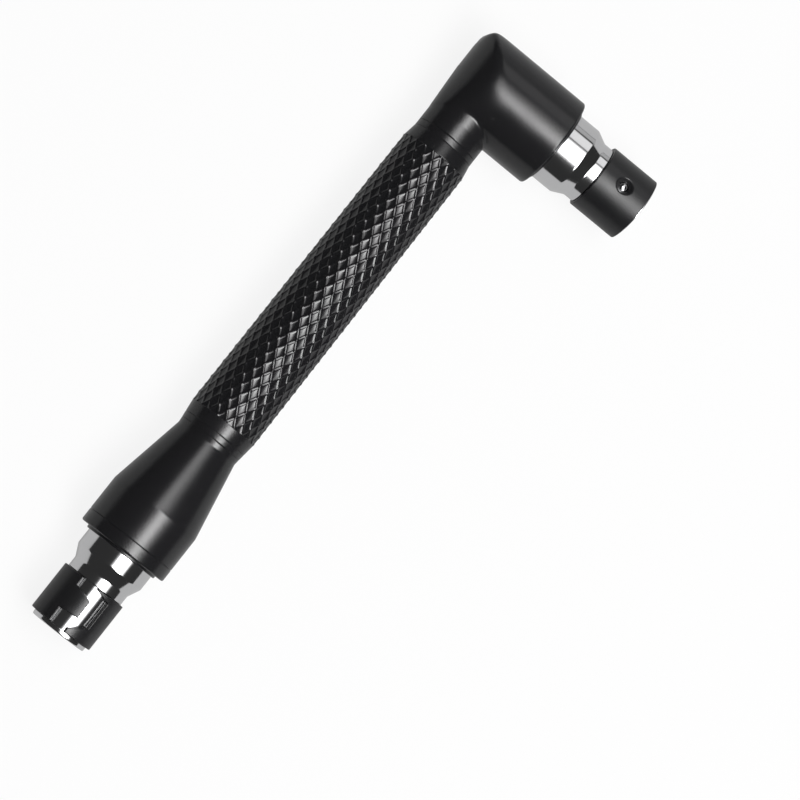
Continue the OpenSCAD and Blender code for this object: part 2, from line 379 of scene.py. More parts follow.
def skin(
    rings: Sequence[tuple[np.ndarray, np.ndarray]], closed: bool
) -> tuple[np.ndarray, list[list[int]]]:
    """Joins rings round the Z axis into a closed surface.

    Args:
        rings: Heights and radii of each ring, with as many places round the axis.
        closed: True if the last ring joins the first. Otherwise both end on the axis.

    Returns:
        The points and the faces.
    """
    count = len(rings[0][0])
    angles = np.arange(count) * TURN / count
    points: list[np.ndarray] = []
    starts: list[int] = []
    for heights, radii in rings:
        starts.append(sum(len(ring) for ring in points))
        pole = not closed and float(np.max(radii)) == 0
        ring = np.stack([radii * np.cos(angles), radii * np.sin(angles), heights], 1)
        points.append(ring[:1] if pole else ring)
    faces: list[list[int]] = []
    pairs = list(zip(range(len(rings)), range(1, len(rings))))
    if closed:
        pairs.append((len(rings) - 1, 0))
    for a, b in pairs:
        first, second = starts[a], starts[b]
        for i in range(count):
            j = (i + 1) % count
            if len(points[a]) == 1:
                faces.append([first, second + i, second + j])
            elif len(points[b]) == 1:
                faces.append([first + i, second, first + j])
            else:
                faces.append([first + i, second + i, second + j, first + j])
    return np.concatenate(points), faces


# Shapes given by a distance field


def soft_max(a: np.ndarray, b: np.ndarray, soft: float | np.ndarray) -> np.ndarray:
    """Gives the larger of two fields, rounded where they meet.

    Args:
        a: One field.
        b: The other field.
        soft: Width of the rounding.

    Returns:
        The field of the common shape.
    """
    near = np.maximum(soft - np.abs(a - b), 0)
    return np.maximum(a, b) + near * near / (4 * soft)


def soft_min(a: np.ndarray, b: np.ndarray, soft: float | np.ndarray) -> np.ndarray:
    """Gives the smaller of two fields, with a fillet of that width where they meet."""
    return -soft_max(-a, -b, soft)


def outline_distance(u: np.ndarray, v: np.ndarray, corners: np.ndarray) -> np.ndarray:
    """Gives the signed distance to a closed outline in a plane, negative inside.

    Args:
        u: First coordinate of each point.
        v: Second coordinate of each point.
        corners: The outline's corners, one a row.

    Returns:
        The distance of each point.
    """
    nearest = np.full(u.shape, np.inf)
    inside = np.zeros(u.shape, bool)
    for (au, av), (bu, bv) in zip(corners, np.roll(corners, -1, 0)):
        du, dv = bu - au, bv - av
        share = np.clip(((u - au) * du + (v - av) * dv) / (du * du + dv * dv), 0, 1)
        nearest = np.minimum(nearest, np.hypot(u - au - share * du, v - av - share * dv))
        if dv:
            across = (av > v) != (bv > v)
            inside ^= across & (u < au + (v - av) * du / dv)
    return np.where(inside, -nearest, nearest)


@dataclass(frozen=True)
class FieldMesher:
    """Turns a distance field into a mesh of quads whose points lie on its surface.

    Attributes:
        distance: Gives the signed distance of points, negative inside.
        low: Lowest corner of the box that holds the shape.
        high: Highest corner of that box.
        step: Side of a grid cell.
        passes: Number of times that the points are moved to the surface.
        probe_share: Share of a cell over which the field's slope is measured.
        least_slope: Least squared slope by which a point's move is divided.
        least_length: Least length by which a normal is divided.
    """

    distance: Callable[[np.ndarray], np.ndarray]
    low: tuple[float, float, float]
    high: tuple[float, float, float]
    step: float
    passes: int = 4
    probe_share: float = 0.125
    least_slope: float = 0.05
    least_length: float = 1e-9

    def slope(self, points: np.ndarray) -> np.ndarray:
        """Measures the field's slope.

        Args:
            points: The places, one a row.

        Returns:
            The gradient at each place.
        """
        reach = self.step * self.probe_share
        slopes = np.empty_like(points)
        for axis in range(3):
            shift = np.zeros(3)
            shift[axis] = reach
            rise = self.distance(points + shift) - self.distance(points - shift)
            slopes[:, axis] = rise / (2 * reach)
        return slopes

    def mesh(self) -> tuple[np.ndarray, np.ndarray, np.ndarray]:
        """Meshes the surface.

        Returns:
            The points, the quads and the exact normal of each point.
        """
        low = np.array(self.low, float)
        counts = np.ceil((np.array(self.high) - low) / self.step).astype(int) + 1
        lines = [low[k] + self.step * np.arange(counts[k]) for k in range(3)]
        grid = np.stack(np.meshgrid(*lines, indexing="ij"), -1)
        values = self.distance(grid.reshape(-1, 3)).reshape(counts)
        inside = values < 0
        spans = [slice(0, -1), slice(1, None)]
        corners = [(i, j, k) for i in (0, 1) for j in (0, 1) for k in (0, 1)]
        filled = sum(inside[tuple(spans[c] for c in corner)].astype(int) for corner in corners)
        cells = np.argwhere((filled > 0) & (filled < 8))
        number = np.full(counts - 1, -1)
        number[tuple(cells.T)] = np.arange(len(cells))
        points = self.place_points(cells, corners, values, low)
        quads = self.join_cells(inside, number)
        for _ in range(self.passes):
            slopes = self.slope(points)
            square = np.maximum((slopes * slopes).sum(1), self.least_slope)
            move = -slopes * (self.distance(points) / square)[:, None]
            points = points + np.clip(move, -self.step / 2, self.step / 2)
        slopes = self.slope(points)
        lengths = np.maximum(np.linalg.norm(slopes, axis=1), self.least_length)
        return points, quads, slopes / lengths[:, None]

    def place_points(
        self,
        cells: np.ndarray,
        corners: Sequence[tuple[int, int, int]],
        values: np.ndarray,
        low: np.ndarray,
    ) -> np.ndarray:
        """Puts one point in each cell, in the middle of its edges' crossings.

        Args:
            cells: Indices of the cells that the surface passes through.
            corners: A cell's corners, as steps along the grid.
            values: The field at the grid's points.
            low: Lowest corner of the grid.

        Returns:
            The point of each cell.
        """
        total = np.zeros((len(cells), 3))
        found = np.zeros(len(cells))
        for a in corners:
            for axis in range(3):
                if a[axis]:
                    continue
                b = tuple(1 if k == axis else a[k] for k in range(3))
                at_a = values[tuple((cells + a).T)]
                at_b = values[tuple((cells + b).T)]
                crossed = (at_a < 0) != (at_b < 0)
                share = np.where(crossed, at_a / np.where(crossed, at_a - at_b, 1), 0)
                place = cells + np.array(a) + share[:, None] * (np.array(b) - np.array(a))
                total += np.where(crossed[:, None], place, 0)
                found += crossed
        return low + self.step * total / found[:, None]

    @staticmethod
    def join_cells(inside: np.ndarray, number: np.ndarray) -> np.ndarray:
        """Joins the four cells round each crossed grid edge with a quad.

        Args:
            inside: True at the grid's points that lie inside the shape.
            number: The number of each cell's point, or -1 where it has none.

        Returns:
            The quads.
        """
        quads = []
        for axis in range(3):
            one, two = [k for k in range(3) if k != axis]
            lower = [slice(None)] * 3
            upper = [slice(None)] * 3
            lower[axis], upper[axis] = slice(0, -1), slice(1, None)
            crossed = np.argwhere(inside[tuple(lower)] != inside[tuple(upper)])
            kept = (crossed[:, one] > 0) & (crossed[:, two] > 0)
            crossed = crossed[kept]
            around = []
            for shift_one, shift_two in ((1, 1), (0, 1), (0, 0), (1, 0)):
                cell = crossed.copy()
                cell[:, one] -= shift_one
                cell[:, two] -= shift_two
                around.append(number[tuple(cell.T)])
            quads.append(np.stack(around, 1))
        joined = np.concatenate(quads)
        return joined[(joined >= 0).all(1)]


# Node trees


@dataclass
class Nodes:
    """A node tree with short calls for the nodes that this object uses."""

    tree: bpy.types.NodeTree

    def add(self, kind: str, *inputs: object, **settings: object) -> bpy.types.Node:
        """Adds a node.

        Args:
            kind: Blender's name of the node type.
            inputs: What goes into its sockets in order: an output socket, a value or None.
            settings: Properties of the node.

        Returns:
            The node.
        """
        node = self.tree.nodes.new(kind)
        for name, value in settings.items():
            setattr(node, name, value)
        for socket, value in zip(node.inputs, inputs):
            self.put(socket, value)
        return node

    def put(self, socket: bpy.types.NodeSocket, value: object) -> None:
        """Links an output to a socket, or sets the socket's own value.

        Args:
            socket: The input socket.
            value: An output socket, a value, or None to leave the input as it is.
        """
        if isinstance(value, bpy.types.NodeSocket):
            self.tree.links.new(value, socket)
        elif value is not None:
            socket.default_value = value

    def math(self, operation: str, *inputs: object) -> bpy.types.NodeSocket:
        """Gives the result of one sum."""
        return self.add("ShaderNodeMath", *inputs, operation=operation).outputs[0]

    def smooth(self, value: object, low: object, high: object) -> bpy.types.NodeSocket:
        """Gives a smooth rise from 0 to 1.

        Args:
            value: What the rise follows.
            low: Where it is still 0.
            high: Where it has come to 1.

        Returns:
            The rise.
        """
        node = self.add("ShaderNodeMapRange", value, low, high, 0.0, 1.0)
        node.interpolation_type = "SMOOTHSTEP"
        return node.outputs[0]

    def ask(self, name: str, kind: str, output: bool = False) -> None:
        """Adds a named socket to a node group's interface."""
        way = "OUTPUT" if output else "INPUT"
        self.tree.interface.new_socket(name=name, in_out=way, socket_type=kind)


# Finishes


# Octaves of the grain, and how deep its pits are beside it
PEEL_DETAIL = 3.0
PIT_DEPTH = 0.6

# Octaves of the smudges, and the stretch of the noise that goes from least to most
SMUDGE_DETAIL = 4.0
SMUDGE_SPAN = (0.3, 0.7)


def open_group(
    name: str, inputs: Sequence[str], output: str
) -> tuple[Nodes, bpy.types.Node, bpy.types.NodeSocket, bpy.types.NodeSocket]:
    """Starts a shared shader group whose sockets are all plain numbers.

    Args:
        name: Name of the group.
        inputs: Names of its inputs.
        output: Name of its output.

    Returns:
        Its nodes, its input node, the socket for its result and the place on the piece.
    """
    nodes = Nodes(bpy.data.node_groups.new(name, "ShaderNodeTree"))
    for label in inputs:
        nodes.ask(label, "NodeSocketFloat")
    nodes.ask(output, "NodeSocketFloat", output=True)
    given = nodes.add("NodeGroupInput")
    result = nodes.add("NodeGroupOutput").inputs[output]
    where = nodes.add("ShaderNodeTexCoord").outputs["Object"]
    return nodes, given, result, where


def grain_group() -> bpy.types.NodeTree:
    """Makes the group for the fine grain of paint and blackened steel.

    Returns:
        A group that puts out the grain's height, with small pits sunk into it.
    """
    asked = ("Peel Scale", "Pit Scale", "Pit Share")
    nodes, given, result, where = open_group("fine_grain", asked, "Height")
    peel = nodes.add("ShaderNodeTexNoise", where)
    nodes.put(peel.inputs["Scale"], given.outputs["Peel Scale"])
    nodes.put(peel.inputs["Detail"], PEEL_DETAIL)
    cells = nodes.add("ShaderNodeTexVoronoi", where)
    nodes.put(cells.inputs["Scale"], given.outputs["Pit Scale"])
    pits = nodes.math("LESS_THAN", cells.outputs["Distance"], given.outputs["Pit Share"])
    sunk = nodes.math("MULTIPLY", pits, PIT_DEPTH)
    nodes.put(result, nodes.math("SUBTRACT", peel.outputs["Fac"], sunk))
    return nodes.tree


def smudge_group() -> bpy.types.NodeTree:
    """Makes the group for the uneven gloss that handling leaves.

    Returns:
        A group that puts out a roughness between its least and its most.
    """
    nodes, given, result, where = open_group("smudges", ("Scale", "Least", "Most"), "Roughness")
    noise = nodes.add("ShaderNodeTexNoise", where)
    nodes.put(noise.inputs["Scale"], given.outputs["Scale"])
    nodes.put(noise.inputs["Detail"], SMUDGE_DETAIL)
    spread = nodes.smooth(noise.outputs["Fac"], *SMUDGE_SPAN)
    least, most = given.outputs["Least"], given.outputs["Most"]
    nodes.put(result, nodes.add("ShaderNodeMapRange", spread, 0.0, 1.0, least, most).outputs[0])
    return nodes.tree


@dataclass(frozen=True)
class Finish:
    """One finish of the driver.

    Attributes:
        name: Name of the material.
        colour: Base colour.
        roughness: Least and most roughness.
        metallic: 1 for bare metal, 0 for paint.
        smudge_scale: Scale of the uneven gloss.
        peel_scale: Scale of the fine grain.
        peel: Depth of the fine grain in millimetres.
        pit_scale: Scale of the small pits.
        pit_share: Share of a pit's cell that the pit takes.
    """

    name: str
    colour: tuple[float, float, float]
    roughness: tuple[float, float]
    metallic: float = 0.0
    smudge_scale: float = 180.0
    peel_scale: float = 2500.0
    peel: float = 0.01
    pit_scale: float = 900.0
    pit_share: float = 0.0

    def material(self, groups: dict[str, bpy.types.NodeTree]) -> bpy.types.Material:
        """Builds the material.

        Args:
            groups: The shared node groups by name.

        Returns:
            The material.
        """
        made = bpy.data.materials.new(self.name)
        made.use_nodes = True
        nodes = Nodes(made.node_tree)
        shader = made.node_tree.nodes["Principled BSDF"]
        nodes.put(shader.inputs["Base Color"], (*self.colour, 1))
        nodes.put(shader.inputs["Metallic"], self.metallic)
        smudges = nodes.add(
            "ShaderNodeGroup", self.smudge_scale, *self.roughness, node_tree=groups["smudges"]
        )
        nodes.put(shader.inputs["Roughness"], smudges.outputs["Roughness"])
        grain = nodes.add(
            "ShaderNodeGroup", self.peel_scale, self.pit_scale, self.pit_share,
            node_tree=groups["grain"],
        )
        bump = nodes.add("ShaderNodeBump")
        nodes.put(bump.inputs["Strength"], 1.0)
        nodes.put(bump.inputs["Distance"], self.peel * MM)
        nodes.put(bump.inputs["Height"], grain.outputs["Height"])
        nodes.put(shader.inputs["Normal"], bump.outputs["Normal"])
        return made


FINISHES = {
    Slot.BODY: Finish("satin_black", (0.012, 0.012, 0.013), (0.2, 0.24), peel=0.014,
                      peel_scale=4000.0, pit_share=0.1),
    Slot.GRIP: Finish("knurl_black", (0.01, 0.01, 0.011), (0.15, 0.21), peel=0.004,
                      peel_scale=5000.0),
    Slot.CHROME: Finish("bright_chrome", (0.8, 0.8, 0.81), (0.09, 0.13), metallic=1.0, peel=0.0004),
    Slot.SPRING: Finish("blackened_spring", (0.012, 0.012, 0.013), (0.3, 0.38), peel=0.006,
                        peel_scale=4000.0),
    Slot.BALL: Finish("polished_ball", (0.78, 0.78, 0.8), (0.05, 0.09), metallic=1.0, peel=0.0004),
    Slot.ROD: Finish("drawn_rod", (0.5, 0.5, 0.52), (0.25, 0.4), metallic=1.0, peel=0.002),
}


def build_finishes() -> Finishes:
    """Builds every finish once."""
    groups = {"grain": grain_group(), "smudges": smudge_group()}
    return {slot: finish.material(groups) for slot, finish in FINISHES.items()}


# Sub-assemblies


@dataclass
class Head:
    """The cast head: a round barrel across the handle's end, with its neck, in one mesh.

    It is drawn from the crossing of the two axes, with its neck along +X and its mouth at +Y.

    Attributes:
        barrel_r: Radius of the barrel.
        back: How far the barrel's back lies from the handle's axis.
        back_curve_r: Radius of the back's curve, seen along the handle.
        corner_r: Radius of the corner between the back and the head's end.
        reach: How far the mouth lies from the handle's axis.
        neck_r: Radius of the neck.
        neck_end: Where the neck ends.
        socket_r: Radius of the socket's bore.
        socket_floor: Where that bore ends.
        rod_r: Radius of the rod's bore.
        rod_floor: Where that bore ends.
        bead_w: Width of the bead round the mouth.
        bead_h: Height of the bead over the mouth.
        crease_soft: Rounding between the barrel's side and its curved back.
        corner_soft: Rounding beside the corner.
        fillet: Fillet between barrel and neck on the mouth's side.
        back_fillet: Fillet between barrel and neck on the back's side.
        mouth_soft: Rounding of the mouth's rim.
        edge_soft: Rounding of the small edges.
        cell: Side of the mesh's cells.
    """

    barrel_r: float = COMMON.body_r
    back: float = 6.3
    back_curve_r: float = 9.4
    corner_r: float = 3.3
    reach: float = 14.8
    neck_r: float = COMMON.neck_r
    neck_end: float = 11.3
    socket_r: float = COMMON.socket_bore_r
    socket_floor: float = 6.2
    rod_r: float = COMMON.rod_bore_r
    rod_floor: float = 1.5
    bead_w: float = COMMON.bead_w
    bead_h: float = COMMON.bead_h
    crease_soft: float = 0.8
    corner_soft: float = 0.4
    fillet: float = 0.4
    back_fillet: float = 0.15
    mouth_soft: float = 0.45
    edge_soft: float = 0.15
    cell: float = 0.2

    def back_at(self, x: np.ndarray) -> np.ndarray:
        """Gives how far the back lies from the handle's axis, which eases into the neck's radius."""
        return self.back + (self.neck_r - self.back) * np.clip(x / self.barrel_r, 0, 1)

    def barrel(self, x: np.ndarray, y: np.ndarray, z: np.ndarray) -> np.ndarray:
        """Gives the field of the round barrel with its curved back and rounded corner.

        Args:
            x: Distance of each point along the handle, towards the tail.
            y: Distance towards the mouth.
            z: Height over the axes.

        Returns:
            The signed distance of each point, negative inside.
        """
        rim = np.hypot(x, z) - self.barrel_r
        share = np.clip(x / self.barrel_r, 0, 1)
        gain = self.neck_r - self.back_curve_r
        curve_r = self.back_curve_r + gain * share * share * (3 - 2 * share)
        past = np.minimum(y - (curve_r - self.back_at(x)), 0)
        curve = np.hypot(past, z) - curve_r
        out_x = -x - (self.barrel_r - self.corner_r)
        out_y = -y - (self.back - self.corner_r)
        past_corner = np.hypot(np.maximum(out_x, 0), np.maximum(out_y, 0))
        within = np.minimum(np.maximum(out_x, out_y), 0)
        beside = np.clip(np.maximum(-out_x, -out_y), 0, 1)
        corner = past_corner + within - self.corner_r - self.corner_soft * beside
        whole = soft_max(rim, curve, self.crease_soft)
        whole = soft_max(whole, corner, self.corner_soft)
        return soft_max(whole, y - self.reach, self.mouth_soft)

    def distance(self, points: np.ndarray) -> np.ndarray:
        """Gives the field of the whole head.

        Args:
            points: The places, one a row.

        Returns:
            The signed distance of each place, negative inside.
        """
        x, y, z = points.T
        neck = np.maximum(np.hypot(y, z) - self.back_at(x), -x)
        neck = soft_max(neck, x - self.neck_end, self.edge_soft)
        side = np.clip((y + self.neck_r / 2) / self.neck_r, 0, 1)
        fillet = self.back_fillet + (self.fillet - self.back_fillet) * side
        whole = soft_min(self.barrel(x, y, z), neck, fillet)
        bead = np.abs(np.hypot(x, z) - self.socket_r - self.bead_w / 2) - self.bead_w / 2
        bead = soft_max(bead, np.abs(y - self.reach) - self.bead_h, self.edge_soft)
        whole = np.minimum(whole, bead)
        socket = np.maximum(np.hypot(x, z) - self.socket_r, self.socket_floor - y)
        rod = np.maximum(np.hypot(y, z) - self.rod_r, self.rod_floor - x)
        whole = soft_max(whole, -socket, self.edge_soft)
        return soft_max(whole, -rod, self.edge_soft)

    def build(self, axes: Axes, finishes: Finishes) -> None:
        """Builds and dresses the head.

        Args:
            axes: The driver's axes.
            finishes: The materials by slot.
        """
        edge = 2 * self.cell
        low = (-self.barrel_r - edge, -self.back - edge, -self.barrel_r - edge)
        high = (self.neck_end + edge, self.reach + self.bead_h + edge, self.barrel_r + edge)
        mesher = FieldMesher(self.distance, low, high, self.cell)
        points, quads, normals = mesher.mesh()
        piece = make_piece("cast_head", points, quads, axes.at_crossing(), normals=normals)
        dress(piece, Slot.BODY, finishes, "elbow_head")


def ends_of(node: str) -> tuple[float, float]:
    """Gives where a CAD node begins and ends along the handle, in millimetres."""
    low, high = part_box(node)
    return low.x / MM, high.x / MM


def taper(x: float, ends: tuple[float, float], radii: tuple[float, float]) -> float:
    """Gives the radius at x of a straight taper between two ends."""
    return radii[0] + (radii[1] - radii[0]) * (x - ends[0]) / (ends[1] - ends[0])


@dataclass
class Handle:
    """The turned parts of the handle: collars, rings and the tail cone.

    Attributes:
        rod_r: Radius of the rod's bore.
        edge: Rounding of the outer edges.
        neck_r: Radius of the ring beside the head.
        collar_head_r: Radius of the head's collar beside the knurl.
        collar_tail_r: Radius of the tail's collar beside the knurl.
        tail_neck_r: Radius where the cone begins to widen.
        start_l: Length of the tail before the cone widens.
        cone_l: Length of the cone.
        body_r: Radius of the straight end.
        rod_l: Depth of the rod's bore in the tail.
        socket_r: Radius of the socket's bore.
        socket_l: Depth of the socket's bore.
        line_in: Distance of the fine line from the mouth.
        line_w: Width of the fine line.
        line_d: Depth of the fine line.
        mouth: Rounding of the mouth's rim.
        bead_w: Width of the bead round the mouth.
        bead_h: Height of the bead over the mouth.
        cone_rounding: Rounding between the cone and the straight end.
        start_rounding: Rounding where the cone begins to widen.
        line_rounding: Rounding of the fine line's edges.
        root_rounding: Rounding at the bead's foot.
        bead_rounding: Rounding of the bead's outer edge.
        bore_rounding: Rounding of the bores' edges in the tail.
        ring_bore_rounding: Rounding of the bore's edges in the rings and collars.
    """

    rod_r: float = COMMON.rod_bore_r
    edge: float = 0.12
    neck_r: float = COMMON.neck_r
    collar_head_r: float = 6.26
    collar_tail_r: float = 6.46
    tail_neck_r: float = 5.95
    start_l: float = 1.0
    cone_l: float = 14.0
    body_r: float = COMMON.body_r
    rod_l: float = 9.0
    socket_r: float = COMMON.socket_bore_r
    socket_l: float = 9.6
    line_in: float = 2.3
    line_w: float = 0.22
    line_d: float = 0.12
    mouth: float = 0.35
    bead_w: float = COMMON.bead_w
    bead_h: float = COMMON.bead_h
    cone_rounding: float = 1.2
    start_rounding: float = 0.3
    line_rounding: float = 0.04
    root_rounding: float = 0.06
    bead_rounding: float = 0.2
    bore_rounding: float = 0.1
    ring_bore_rounding: float = 0.05

    def head_taper(self, x: float) -> float:
        """Gives the radius at x of the head's collar, which widens up to the knurl."""
        return taper(x, ends_of("head_collar"), (self.neck_r, self.collar_head_r))

    def tail_taper(self, x: float) -> float:
        """Gives the radius at x of the taper from the tail's collar to where the cone widens."""
        ends = ends_of("tail_collar")[0], ends_of("tail_cone")[0] + self.start_l
        return taper(x, ends, (self.collar_tail_r, self.tail_neck_r))

    def ring(
        self, node: str, name: str, radius: Callable[[float], float], axes: Axes
    ) -> bpy.types.Object:
        """Builds one collar or ring between its CAD node's two ends.

        Args:
            node: The CAD node that it stands for.
            name: Name of the piece.
            radius: Gives the outer radius at a place along the handle.
            axes: The driver's axes.

        Returns:
            The piece.
        """
        start, end = ends_of(node)
        length = end - start
        bore = self.ring_bore_rounding
        shape = Turned((
            Corner(0, self.rod_r, bore), Corner(0, radius(start), self.edge),
            Corner(length, radius(end), self.edge), Corner(length, self.rod_r, bore),
        ), closed=True)
        return make_piece(name, *shape.mesh(), axes.along_handle(start))

    def cone(self, axes: Axes) -> bpy.types.Object:
        """Builds the tail cone with its straight end, fine line and mouth bead.

        Args:
            axes: The driver's axes.

        Returns:
            The piece.
        """
        start, end = ends_of("tail_cone")
        mouth = end - start - self.bead_h
        top = mouth + self.bead_h
        floor = mouth - self.socket_l
        line = mouth - self.line_in
        bead_r = self.socket_r + self.bead_w
        bore = self.bore_rounding
        fine = self.line_rounding
        shape = Turned((
            Corner(self.rod_l, 0), Corner(self.rod_l, self.rod_r, bore), Corner(0, self.rod_r, bore),
            Corner(0, self.tail_taper(start), self.edge),
            Corner(self.start_l, self.tail_neck_r, self.start_rounding),
            Corner(self.start_l + self.cone_l, self.body_r, self.cone_rounding),
            Corner(line - self.line_w, self.body_r, fine),
            Corner(line - self.line_w / 2, self.body_r - self.line_d, fine),
            Corner(line, self.body_r, fine), Corner(mouth, self.body_r, self.mouth),
            Corner(mouth, bead_r, self.root_rounding), Corner(top, bead_r, self.bead_rounding),
            Corner(top, self.socket_r, bore), Corner(floor, self.socket_r, bore), Corner(floor, 0),
        ))
        return make_piece("turned_tail", *shape.mesh(), axes.along_handle(start))

    def build(self, axes: Axes, finishes: Finishes) -> None:
        """Builds and dresses the turned parts.

        Args:
            axes: The driver's axes.
            finishes: The materials by slot.
        """
        pieces = {
            "head_ring": self.ring("head_ring", "narrow_ring_head", lambda x: self.neck_r, axes),
            "head_collar": self.ring("head_collar", "plain_collar_head", self.head_taper, axes),
            "tail_collar": self.ring("tail_collar", "plain_collar_tail", self.tail_taper, axes),
            "tail_ring": self.ring("tail_ring", "narrow_ring_tail", self.tail_taper, axes),
            "tail_cone": self.cone(axes),
        }
        for node, piece in pieces.items():
            dress(piece, Slot.BODY, finishes, node)


@dataclass
class Grip:
    """The knurled bar: one diamond cell repeated round and along the bar by geometry nodes.

    Attributes:
        head_r: Radius over the crossings at the head's end, in millimetres.
        tail_r: Radius over the crossings at the tail's end.
        bore_r: Radius of the rod's bore.
        starts: Number of ribs that wind each way.
        rows: Number of steps along the bar from one row of cells to the next.
        rib_h: Height of the crossings over the cells' floors.
        rib_share: Width of a rib's foot as a share of a cell.
        crown_share: Half the width of a rib's flat crown as a share of a cell.
        node_share: Rise of a crossing over the ribs as a share of the ribs' height.
        turn_deg: How far the first column is turned round the bar.
        cell_marks: Places of a cell's grid lines from its edge to its middle, as shares of a cell.
        trim_slack: Share of a row by which a cell may pass the bar's ends before it is cut off.
        weld: Distance at which the cells' common points become one.
        sharp_deg: Edges that turn by more than this stay sharp.
    """

    head_r: float = 6.35
    tail_r: float = 6.55
    bore_r: float = COMMON.rod_bore_r
    starts: int = 22
    rows: int = 35
    rib_h: float = 0.2
    rib_share: float = 0.46
    crown_share: float = 0.06
    node_share: float = 1.0
    turn_deg: float = 4.2
    cell_marks: tuple[float, ...] = (0, 0.05, 0.1, 0.17, 0.235, 0.5)
    trim_slack: float = 0.01
    weld: float = 0.002
    sharp_deg: float = 50.0

    def cell_curve(
        self, nodes: Nodes, value: bpy.types.NodeSocket, last: int
    ) -> bpy.types.NodeSocket:
        """Gives the place of a cell's grid line, close together near the ribs.

        Args:
            nodes: The tree that gets the nodes.
            value: Number of the grid line as a share, from 0 to 1.
            last: Number of grid lines less one.

        Returns:
            The place across the cell, from 0 to 1.
        """
        curve = nodes.add("ShaderNodeFloatCurve", 1.0, value)
        marks = list(self.cell_marks) + [1 - m for m in reversed(self.cell_marks[:-1])]
        points = curve.mapping.curves[0].points
        for i, mark in enumerate(marks):
            share = i / last
            if i in (0, len(marks) - 1):
                points[0 if i == 0 else -1].location = (share, mark)
            else:
                points.new(share, mark)
        for point in points:
            point.handle_type = "VECTOR"
        curve.mapping.update()
        return curve.outputs[0]

    def diamond(
        self,
        nodes: Nodes,
        given: bpy.types.bpy_prop_collection,
        row_step: bpy.types.NodeSocket,
        column_step: bpy.types.NodeSocket,
    ) -> bpy.types.NodeSocket:
        """Shapes one diamond cell, with half a rib along each of its four edges.

        Args:
            nodes: The tree that gets the nodes.
            given: The tree's inputs.
            row_step: Length of the bar from one row to the next.
            column_step: Angle round the bar from one column to the next.

        Returns:
            The cell, with the way along the bar as x, the angle as y and the height as z.
        """
        last = 2 * len(self.cell_marks) - 2
        cell = nodes.add("GeometryNodeMeshGrid", 1.0, 1.0, last + 1, last + 1)
        place = nodes.add("ShaderNodeSeparateXYZ", nodes.add("GeometryNodeInputPosition").outputs[0])
        across = [
            self.cell_curve(nodes, nodes.math("ADD", place.outputs[k], 0.5), last) for k in (0, 1)
        ]
        foot = nodes.math("DIVIDE", given["Rib Share"], 2.0)
        heights, domes = [], []
        for share in across:
            edge = nodes.math("MINIMUM", share, nodes.math("SUBTRACT", 1.0, share))
            fall = nodes.smooth(edge, given["Crown Share"], foot)
            heights.append(nodes.math("SUBTRACT", 1.0, fall))
            domes.append(nodes.math("SUBTRACT", 1.0, nodes.smooth(edge, 0.0, foot)))
        raised = nodes.math("MAXIMUM", *heights)
        node_rise = nodes.math("MULTIPLY", nodes.math("MULTIPLY", *domes), given["Node Rise"])
        tallest = nodes.math("ADD", 1.0, given["Node Rise"])
        part = nodes.math("DIVIDE", nodes.math("ADD", raised, node_rise), tallest)
        along = nodes.math("SUBTRACT", nodes.math("ADD", *across), 1.0)
        flat = nodes.add(
            "ShaderNodeCombineXYZ",
            nodes.math("MULTIPLY", along, row_step),
            nodes.math("MULTIPLY", nodes.math("SUBTRACT", *across), column_step),
            nodes.math("MULTIPLY", part, given["Rib Height"]),
        )
        return nodes.add(
            "GeometryNodeSetPosition", cell.outputs["Mesh"], None, flat.outputs[0]
        ).outputs[0]

    @staticmethod
    def lay_cells(
        nodes: Nodes,
        given: bpy.types.bpy_prop_collection,
        diamond: bpy.types.NodeSocket,
        row_step: bpy.types.NodeSocket,
        column_step: bpy.types.NodeSocket,
    ) -> bpy.types.NodeSocket:
        """Lays the rows of cells, each turned by half a cell against the one before.

        Args:
            nodes: The tree that gets the nodes.
            given: The tree's inputs.
            diamond: The cell.
            row_step: Length of the bar from one row to the next.
            column_step: Angle round the bar from one column to the next.

        Returns:
            All cells, still laid flat.
        """
        count = nodes.math("MULTIPLY", given["Starts"], nodes.math("ADD", given["Rows"], 1.0))
        index = nodes.add("GeometryNodeInputIndex").outputs[0]
        row = nodes.math("FLOOR", nodes.math("DIVIDE", nodes.math("ADD", index, 0.5), given["Starts"]))
        start = nodes.math("SUBTRACT", index, nodes.math("MULTIPLY", row, given["Starts"]))
        odd = nodes.math("MODULO", row, 2.0)
        column = nodes.math("SUBTRACT", nodes.math("MULTIPLY_ADD", start, 2.0, 1.0), odd)
        middle = nodes.add(
            "ShaderNodeCombineXYZ",
            nodes.math("MULTIPLY", row, row_step), nodes.math("MULTIPLY", column, column_step), 0.0,
        )
        points = nodes.add("GeometryNodePoints", count, middle.outputs[0])
        copies = nodes.add("GeometryNodeInstanceOnPoints", points.outputs[0], None, diamond)
        return nodes.add("GeometryNodeRealizeInstances", copies.outputs[0]).outputs[0]

